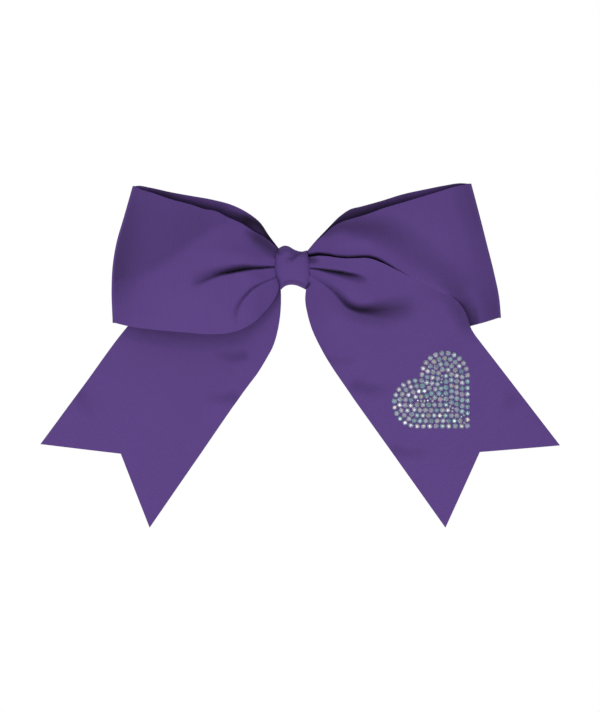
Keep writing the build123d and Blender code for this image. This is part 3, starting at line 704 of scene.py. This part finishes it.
# The far fold as seen, then each layer's edges as seen and its depths along its middle and edges. A depth is
# given by share of the way from the knot to the fold, and counts from the gather.
LEFT_FOLD = [(-98.8, -30.4), (-99.4, -12.3), (-98.8, 0.8), (-96.6, 14), (-92.8, 27.1), (-87.8, 44.6)]
LEFT_LAYERS = {
    "front": {
        "bottom": [(-7.2, -8.5), (-8.8, -14), (-12.8, -20.8), (-17, -25.5), (-21, -29.5), (-25.5, -32.4),
                   (-30.5, -34.6), (-36.5, -36), (-44, -36.5), (-62.1, -35.3), (-78, -33.9), (-91.1, -32)],
        "top": [(-7.6, 9.4), (-10, 12), (-15.5, 16.3), (-23, 20.6), (-27.8, 23.8), (-36.1, 27.6),
                (-42.9, 31), (-48.4, 31.9), (-55.9, 34.4), (-66.2, 37.1), (-77.8, 41.1), (-84, 43.1)],
        "middle": [(0, -3.4), (0.12, -6.5), (0.3, -11), (0.5, -13.2), (0.72, -11.2), (0.88, -7.8),
                   (0.96, -4.6), (1, -2.4)],
        "edge": [(0, -2.4), (0.12, -3.8), (0.3, -7.4), (0.5, -9.6), (0.72, -8.4), (0.88, -6.2), (0.96, -4),
                 (1, -2.4)],
    },
    "back": {
        "bottom": [(-7, -7), (-13, -17), (-24, -28), (-42, -33), (-62, -32), (-91, -29.5)],
        "top": [(-7.7, 10.2), (-13.5, 17.8), (-18.2, 24.7), (-25.1, 30.1), (-33.3, 34.2), (-44.3, 37.2),
                (-56.6, 39.4), (-67.6, 41.4), (-78.5, 43.8), (-85.4, 44.8)],
        "middle": [(0, 1.2), (0.3, 2.2), (0.6, 2), (0.9, 0.2), (1, -0.6)],
        "edge": [(0, 1.2), (0.3, 1.6), (0.6, 1.4), (0.9, 0), (1, -0.6)],
    },
}
loop_left, left_length = loop(
    -1, "loop_left_ribbon", LEFT_FOLD, LEFT_LAYERS, LEFT_CREASES, LEFT_INSIDE,
    swells=[((-60, -10), (32, 20), 1.6, 20), ((-30, 7), (14, 5), 1.4, -8), ((-24, -23), (9, 5), 1, 45),
            ((-22, -5), (10, 3), 0.8, -12)],
)

# the outer edge of the right tail where the loop's front meets it
CONTACT_LINE = [(55, -0.6), (58.2, -2.1), (63, -4.6), (69.4, -7.8), (78, -11.2), (85, -14.6), (90.5, -19),
                (94, -24)]
CONTACT_REACH = 15
TIPS_TO_CONTACT = 110


def tail_contact(x, z):
    """How closely the loop's front lies against the tail, and how far outside the tail's edge it is."""
    edge = spline(CONTACT_LINE, 90)
    gap = np.stack([x.ravel(), z.ravel()], axis=1)[:, None, :] - edge[None]
    square = (gap**2).sum(axis=2)
    near = square.argmin(axis=1)
    away = gap[np.arange(len(near)), near]
    tangent = np.gradient(edge, axis=0)[near]
    outside = np.sign(tangent[:, 0] * away[:, 1] - tangent[:, 1] * away[:, 0]) * np.sqrt(square.min(axis=1))
    share = (near / (len(edge) - 1)).reshape(x.shape)
    outside = outside.reshape(x.shape)
    pull = np.exp(-((outside / CONTACT_REACH) ** 2)) * ease(share / 0.28) * ease((1 - share) / 0.3)
    return pull, outside


def against_tail(x, z, y):
    """Along the tail's outer edge the loop's front lies against it, and is flush with it just outside."""
    pull, outside = tail_contact(x, z)
    at_edge = right_tail_depth(x, 1, TIPS_TO_CONTACT) + CONTACT
    target = at_edge - (CONTACT - FLUSH) * ease((outside + 1.5) / 1.5)
    free = np.maximum(y, right_tail_depth(x, 0.5, TIPS_TO_CONTACT) + CONTACT)
    return free + pull * (target - free)


RIGHT_FOLD = [(113.7, -27.6), (112.7, -16.7), (110, -3.6), (105.6, 14), (102.3, 27.1), (97.4, 45.9)]
RIGHT_LAYERS = {
    "front": {
        "bottom": [(8, -7), (16, -18), (30, -27), (62, -36), (80, -36.2), (90, -34.1), (97.2, -32.1),
                   (105, -30)],
        "top": [(8, 8.8), (11.3, 12.9), (16, 17.2), (22.2, 22.6), (27.1, 25.2), (32, 26.7), (40.5, 29.2),
                (49, 32.3), (58.5, 35.1), (68, 38), (78, 41), (89.1, 44.4)],
        "middle": [(0, -1.6), (0.12, -4.4), (0.3, -8), (0.5, -10.4), (0.72, -9.2), (0.88, -6.6), (0.96, -4),
                   (1, -2.2)],
        "edge": [(0, -1.2), (0.12, -2.6), (0.3, -5.6), (0.5, -7), (0.72, -6.4), (0.88, -5), (0.96, -3.4),
                 (1, -2.2)],
    },
    "back": {
        "bottom": [(8, -6.5), (16, -17), (30, -26), (62, -34.4), (80, -34.8), (97.2, -30.9), (105, -28.8)],
        "top": [(7.6, 9), (11.3, 13.4), (19.2, 21.8), (25.9, 28.4), (31.4, 32), (36.9, 33.4), (47.8, 36.4),
                (60.1, 40.2), (72, 42.8), (82.6, 44.9), (92, 46.2)],
        "middle": [(0, 2.6), (0.3, 3.8), (0.6, 3.8), (0.9, 1.2), (1, 0.2)],
        "edge": [(0, 2.6), (0.3, 3.2), (0.6, 3), (0.9, 1), (1, 0.2)],
    },
}
loop_right, right_length = loop(
    1, "loop_right_ribbon", RIGHT_FOLD, RIGHT_LAYERS, RIGHT_LOOP_CREASES, RIGHT_INSIDE,
    swells=[((88, 18), (22, 20), 1.4, -60), ((32, 14), (14, 5), 1.4, 0)], settle=against_tail,
)

# ======== knot ========

KNOT_AROUND = 168
KNOT_ACROSS = 72
KNOT_W = 18
KNOT_T = 0.5
KNOT_UP, KNOT_DOWN = 10.2, 10.8
KNOT_BACK_X, KNOT_BACK_Z = 7.6, 8.6  # half its width and half its height at the back
# the knot's outline as seen: heights above and below by X, and sides by Z
KNOT_TOP = [(-12, 9), (-9.5, 9.6), (-7.5, 10.6), (-4.8, 11.7), (-2.5, 11.3), (-0.3, 10), (2.2, 8.9),
            (5, 8.5), (7.5, 9.1), (12, 9.6)]
KNOT_BOTTOM = [(-12, 13), (-6.9, 11.9), (-5.2, 10.4), (-3.3, 9.5), (-0.7, 9.2), (2.2, 9.7), (5, 10.9),
               (7.7, 12.2), (12, 13.4)]
KNOT_LEFT = [(-13, -7), (-10, -7.1), (-6.5, -7.6), (-3, -9.6), (0, -10.2), (3.5, -10.1), (6.9, -9.8),
             (10, -8), (13, -7)]
KNOT_RIGHT = [(-13, 7.8), (-10.2, 7.9), (-7, 8.8), (-4.2, 9.7), (-0.3, 9.5), (2, 9.2), (5.8, 8.3), (9, 7.6),
              (13, 7.5)]
# the strip's middle line from the side, as Y and a share of the knot's height
KNOT_SECTION = [(-20.6, 0), (-20.2, 0.45), (-18.2, 0.82), (-14.5, 1), (-9.5, 0.86), (-6.1, 0.55), (-5.5, 0),
                (-6.1, -0.55), (-9.5, -0.86), (-14.5, -1), (-18.2, -0.84), (-20.2, -0.45), (-20.6, 0)]
KNOT_CREASES = [
    # the diagonal fold under the upper lip
    Crease([(8, 8.2), (5, 7.6), (2.2, 6.2), (-0.7, 4.5), (-3.2, 3.7), (-5.5, 3.6)],
           depth=[0.3, 0.7, 1.3, 1.6, 0.8, 0], left=[0.5, 0.5, 0.5, 0.6, 0.8, 1],
           right=[3.2, 3.8, 4.4, 4.4, 3.4, 2.5], shade=[0.2, 0.3, 0.38, 0.5, 0.3, 0]),
    # the turned edge along the lower side
    Crease([(-7, -10.6), (-3.4, -7.9), (-0.7, -7.6), (2.2, -8.1), (5, -9.3), (7.4, -10.6)],
           depth=[0.2, 0.4, 0.4, 0.4, 0.4, 0.2], left=[1.6], right=[0.5],
           shade=[0.1, 0.16, 0.16, 0.16, 0.16, 0.1]),
    # the pulled corner at the upper left
    Crease([(-9.6, 8.6), (-7, 7.6), (-5, 8.8)],
           depth=[0.8, 0.7, 0], left=[1.6, 1.8, 1.2], right=[1.2, 1.2, 1], shade=[0.35, 0.22, 0]),
]


def knot_piece():
    """The strip wrapped round the gather and the barrette's base, folded where it was pulled tight.

    front rises from 0 at Y -13 to 1 at Y -19, and back from 0 at Y -14 to 1 at Y -7.
    """
    section = spline(KNOT_SECTION, KNOT_AROUND + 1)[:-1]
    across = np.linspace(-1, 1, KNOT_ACROSS)
    y0, share = section[:, 0][:, None], section[:, 1][:, None]
    front = ease((-y0 - 13) / 6)
    z0 = share * np.where(share > 0, KNOT_UP, KNOT_DOWN)
    left = front * profile(KNOT_LEFT, z0) - (1 - front) * KNOT_BACK_X
    right = front * profile(KNOT_RIGHT, z0) + (1 - front) * KNOT_BACK_X
    x = (left + right) / 2 + across[None, :] * (right - left) / 2
    back = ease((y0 + 14) / 7)
    top = profile(KNOT_TOP, x) * (1 - back) + KNOT_BACK_Z * back
    bottom = profile(KNOT_BOTTOM, x) * (1 - back) + KNOT_BACK_Z * back
    z = np.where(share > 0, share * top, share * bottom)
    push, shade = creased(KNOT_CREASES, x, z)
    y = y0 + front * (0.016 * x**2 + 1.7 * np.abs(across[None, :]) ** 9) + front * push
    points = as_seen(np.stack([x, y, z], axis=-1))
    step = np.linalg.norm(np.diff(points[:, KNOT_ACROSS // 2], axis=0), axis=1)
    u = np.concatenate([[0], np.cumsum(step)])
    grid_u = np.repeat(u[:, None], KNOT_ACROSS, axis=1)
    grid_v = np.repeat((across * KNOT_W / 2)[None, :], KNOT_AROUND, axis=0)
    # the creases' painted shade, on the front of the knot only
    knot = Surface("knot_ribbon", points, grid_u, grid_v, shade * front, closed=True, thickness=KNOT_T)
    return knot, u[-1]


GATHER_L = 16.2
GATHER_WAIST = (3.6, 4.7)  # half its depth and half its height where the tie holds it
GATHER_FLARE = (0.6, 2.8)  # how much more those are at its ends
PLEATS = 12
WEAVE_ROUND, WEAVE_ALONG = 12, 2  # millimetres of ribbon to a radian round it and to a millimetre along it


def gather_piece():
    """The pleated middle of the ribbon, cinched by the cable tie."""
    xs = np.linspace(-GATHER_L / 2, GATHER_L / 2, 41)
    angle = np.linspace(0, 2 * math.pi, 145)[:-1]
    flare = ease((np.abs(xs) - 1.5) / 6.5)
    half_y, half_z = (waist + more * flare for waist, more in zip(GATHER_WAIST, GATHER_FLARE))
    pleat = 1 + (0.05 + 0.1 * flare)[:, None] * np.cos(PLEATS * angle)[None, :]
    y = GATHER_Y + half_y[:, None] * np.cos(angle)[None, :] * pleat
    z = half_z[:, None] * np.sin(angle)[None, :] * pleat
    x = np.repeat(xs[:, None], len(angle), axis=1)
    points = np.stack([x, y, z], axis=-1).transpose(1, 0, 2)
    grid_u = np.repeat((angle * WEAVE_ROUND)[:, None], len(xs), axis=1)
    grid_v = np.repeat(xs[None, :] * WEAVE_ALONG, len(angle), axis=0)
    return Surface("gathered_ribbon", points, grid_u, grid_v, closed=True)


knot, knot_length = knot_piece()
gather = gather_piece()
surfaces = [loop_left, loop_right, tail_left, tail_right, knot, gather]
bake_occlusion_shade(surfaces)
# no painted occlusion shade where the loop's front lies against the tail's edge
contact = tail_contact(loop_right.points[..., 0], loop_right.points[..., 2])[0]
loop_right.bare[:LOOP_COLUMNS] = np.clip(2.2 * contact[:LOOP_COLUMNS], 0, 1)
loop_left, loop_right, tail_left, tail_right, knot, gather = (surface.build() for surface in surfaces)
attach(knot, "bow")
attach(gather, "bow")

# ======== rhinestones ========


def islands(node):
    """The separate solids of a CAD node, each as its points in millimetres."""
    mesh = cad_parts[node].data
    co = np.array([v.co for v in mesh.vertices]) / MM
    parent = list(range(len(co)))

    def root(i):
        while parent[i] != i:
            parent[i] = parent[parent[i]]
            i = parent[i]
        return i

    first = {}
    for i, p in enumerate(np.round(co, 3)):
        parent[root(i)] = root(first.setdefault(tuple(p), i))
    for e in mesh.edges:
        parent[root(e.vertices[0])] = root(e.vertices[1])
    groups = {}
    for i in range(len(co)):
        groups.setdefault(root(i), []).append(i)
    return [co[g] for g in groups.values()]


def stone(radius, height, facets):
    """A flat-backed rhinestone: a table, main facets with smaller ones between, and a thin girdle."""
    girdle = 2 * facets

    def ring(r, y, n, turn):
        angles = [2 * math.pi * (i + turn) / n for i in range(n)]
        return [(r * math.cos(a), y, r * math.sin(a)) for a in angles]

    points = ring(radius * 0.97, 0, girdle, 0) + ring(radius, -0.2 * height, girdle, 0)
    points += ring(radius * 0.52, -height, facets, 0.5)
    faces = [tuple(range(girdle))]
    faces += [(i, girdle + i, girdle + (i + 1) % girdle, (i + 1) % girdle) for i in range(girdle)]
    table = 2 * girdle
    for i in range(facets):
        a, b, c = (girdle + (2 * i + k) % girdle for k in range(3))
        after = table + (i + 1) % facets
        faces += [(table + i, a, b), (table + i, b, c), (table + i, c, after)]
    faces.append(tuple(table + i for i in reversed(range(facets))))
    return points, faces


# linear facet colours, partly the aurora-borealis coat's tints and partly painted reflection: cool greys,
# teals, and pinks and yellows on the odd facet
COOL = [(0.36, 0.38, 0.47), (0.32, 0.36, 0.47), (0.39, 0.39, 0.45), (0.38, 0.36, 0.49), (0.43, 0.42, 0.5),
        (0.31, 0.36, 0.45)]
TEAL = [(0.19, 0.32, 0.39), (0.22, 0.37, 0.43), (0.17, 0.27, 0.39), (0.26, 0.41, 0.47)]
WARM = [(0.5, 0.37, 0.47), (0.52, 0.44, 0.36), (0.45, 0.35, 0.53), (0.5, 0.35, 0.36)]


def facet_tint_and_glint(draw, tint):
    """One facet: mostly the stone's own tint, lighter or darker as painted reflection, with a few bright
    ones as painted glints and some warm or teal.
    """
    kind = draw.random()
    # painted glints: a few facets far brighter than the tint
    if kind < 0.08:
        return [min(1.0, 1.5 * c + 0.1) for c in tint]
    if kind < 0.19:
        tint = draw.choice(WARM)
    elif kind < 0.36:
        tint = draw.choice(TEAL)
    # lighter or darker facets as painted reflection
    scale = draw.uniform(0.68, 1.2)
    return [scale * c for c in tint]


HEART_AT = (55, -47)  # from here, stones further right and lower are more often teal
HEART_SPAN = 40
ABOVE_CLOTH = 60
STONE_LIFT = 0.02


def stones_piece(name, node, facets, surface, seed):
    """Every stone of a CAD node as a cut crystal, sitting on the ribbon's own surface."""
    draw = random.Random(seed)
    points, faces, colours = [], [], []
    for island in islands(node):
        low, high = island.min(axis=0), island.max(axis=0)
        centre = (low + high) / 2
        radius, height = (high[0] - low[0]) / 2, high[1] - low[1]
        place = as_seen(np.array([centre[0], STONE_BACK_Y, centre[2]]))
        above = Vector((place[0], -ABOVE_CLOTH, place[2])) * MM
        hit, normal, _, _ = surface.ray_cast(above, Vector((0, 1, 0)))
        seat = hit / MM + normal * STONE_LIFT
        tilt = Vector((draw.gauss(0, 0.05), 0, draw.gauss(0, 0.05)))
        facing = (normal + tilt).to_track_quat("-Y", "Z").to_matrix()
        turn = facing @ Matrix.Rotation(draw.uniform(0, 6.28), 3, "Y")
        shape, sides = stone(radius, height, facets)
        first = len(points)
        points += [tuple((turn @ Vector(p)) + seat) for p in shape]
        low_right = (place[0] - HEART_AT[0]) / HEART_SPAN - (place[2] - HEART_AT[1]) / HEART_SPAN
        tint = draw.choice(TEAL if draw.random() < 0.16 + 0.3 * (low_right - 0.7) else COOL)
        for face in sides:
            faces.append(tuple(first + i for i in face))
            colours.append(facet_tint_and_glint(draw, tint))
    mesh = bpy.data.meshes.new(name)
    mesh.from_pydata([tuple(c * MM for c in p) for p in points], [], faces)
    layer = mesh.color_attributes.new("facet", "FLOAT_COLOR", "CORNER")
    for polygon, colour in zip(mesh.polygons, colours):
        for i in polygon.loop_indices:
            layer.data[i].color = (*colour, 1)
    mesh.materials.append(crystal)
    piece = placed(name, mesh)
    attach(piece, "tail_right")
    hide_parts(node)


crystal = crystal_material()
tail_mesh = tail_right.data
surface = BVHTree.FromPolygons([v.co for v in tail_mesh.vertices], [p.vertices for p in tail_mesh.polygons])
stones_piece("heart_stones_large", "rhinestones_large", 8, surface, seed=11)
stones_piece("heart_stones_small", "rhinestones_small", 6, surface, seed=12)

# ======== the ribbon's placements baked into its meshes, and the model's ribbon parts hidden ===


def bend(piece):
    """Bakes the piece's placement into its mesh."""
    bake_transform(piece)


bend(tail_right)
bend(tail_left)
bend(loop_left)
bend(loop_right)
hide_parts("ribbon_loop_left")
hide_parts("ribbon_loop_right")
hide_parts("ribbon_tail_left", "ribbon_neck_left")
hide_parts("ribbon_tail_right", "ribbon_neck_right")
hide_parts("knot_wrap")
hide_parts("ribbon_gather")

# ======== barrette and hidden fixings ========

rolled = nickel_material("nickel_rolled", (0.72, 0.72, 0.73), (60, 60, 2600), 0.16)
turned = nickel_material("nickel_turned", (0.62, 0.62, 0.64), (900, 900, 900), 0.22)
nylon = moulded_material("nylon_tie", (0.012, 0.012, 0.013), (0.03, 0.03, 0.032), 0.42, 0.5)
glue = moulded_material("hot_melt_glue", (0.62, 0.58, 0.48), (0.78, 0.74, 0.64), 0.3, 0.5)
FINISHES = {
    rolled: ["barrette_base", "barrette_clasp", "barrette_tension_bar", "catch_prong_upper",
             "catch_prong_lower"],
    turned: ["barrette_hinge_pin", "catch_rivet", "catch_saddle"],
    nylon: ["cable_tie"],
    glue: ["glue_pad"],
}
for material, nodes in FINISHES.items():
    for node in nodes:
        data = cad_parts[node].data
        data.materials.clear()
        data.materials.append(material)

# ======== studio ========

# the surround's strength, by how far a direction points to the back
SURROUND = {"From Min": 0.1, "From Max": 0.8, "To Min": 0.3, "To Max": 1.0}
LIGHTS = [
    ("key", (-0.12, -1.45, -0.5), 0.7, 12.9),
    ("top", (0.1, -1.1, 0.9), 0.8, 2.0),
]
LIGHTS_AIM = (0, 0, -0.05)
FLOOR_Z = -0.42


def studio():
    """A white surround behind the bow, two soft lights in front and a pale floor."""
    world = bpy.data.worlds.new("surround")
    bpy.context.scene.world = world
    world.use_nodes = True
    nodes, link = world.node_tree.nodes, world.node_tree.links.new
    direction = nodes.new("ShaderNodeTexCoord")
    split = nodes.new("ShaderNodeSeparateXYZ")
    link(direction.outputs["Generated"], split.inputs[0])
    strength = nodes.new("ShaderNodeMapRange")
    strength.interpolation_type = "SMOOTHSTEP"
    link(split.outputs[1], strength.inputs["Value"])
    for name, value in SURROUND.items():
        strength.inputs[name].default_value = value
    link(strength.outputs[0], nodes["Background"].inputs["Strength"])
    nodes["Background"].inputs["Color"].default_value = (1, 1, 1, 1)
    for name, place, size, power in LIGHTS:
        light = bpy.data.lights.new(name, "AREA")
        light.size = size
        light.energy = power
        lamp = placed(name, light)
        lamp.location = place
        lamp.rotation_euler = (Vector(LIGHTS_AIM) - Vector(place)).to_track_quat("-Z", "Y").to_euler()
    mesh = bpy.data.meshes.new("floor")
    side, near, far = 0.9, -0.5, 0.34
    corners = [(-side, near), (side, near), (side, far), (-side, far)]
    mesh.from_pydata([(x, y, FLOOR_Z) for x, y in corners], [], [(0, 1, 2, 3)])
    m = Shading("pale_floor")
    shade = m.ramp(m.noise(30), (0.78, 0.78, 0.77), (0.84, 0.84, 0.83))
    m.feed(m.shader, {"Base Color": shade, "Roughness": 0.9})
    mesh.materials.append(m.material)
    placed("floor", mesh)


def camera():
    """A view square on to the bow, from a little over a metre in front."""
    data = bpy.data.cameras.new("camera")
    data.lens = 100
    data.sensor_width = 36
    view = placed("camera", data)
    view.location = CAMERA * MM
    view.rotation_euler = (math.radians(90), 0, 0)
    bpy.context.scene.camera = view


studio()
camera()
bpy.context.scene.view_settings.view_transform = "Standard"
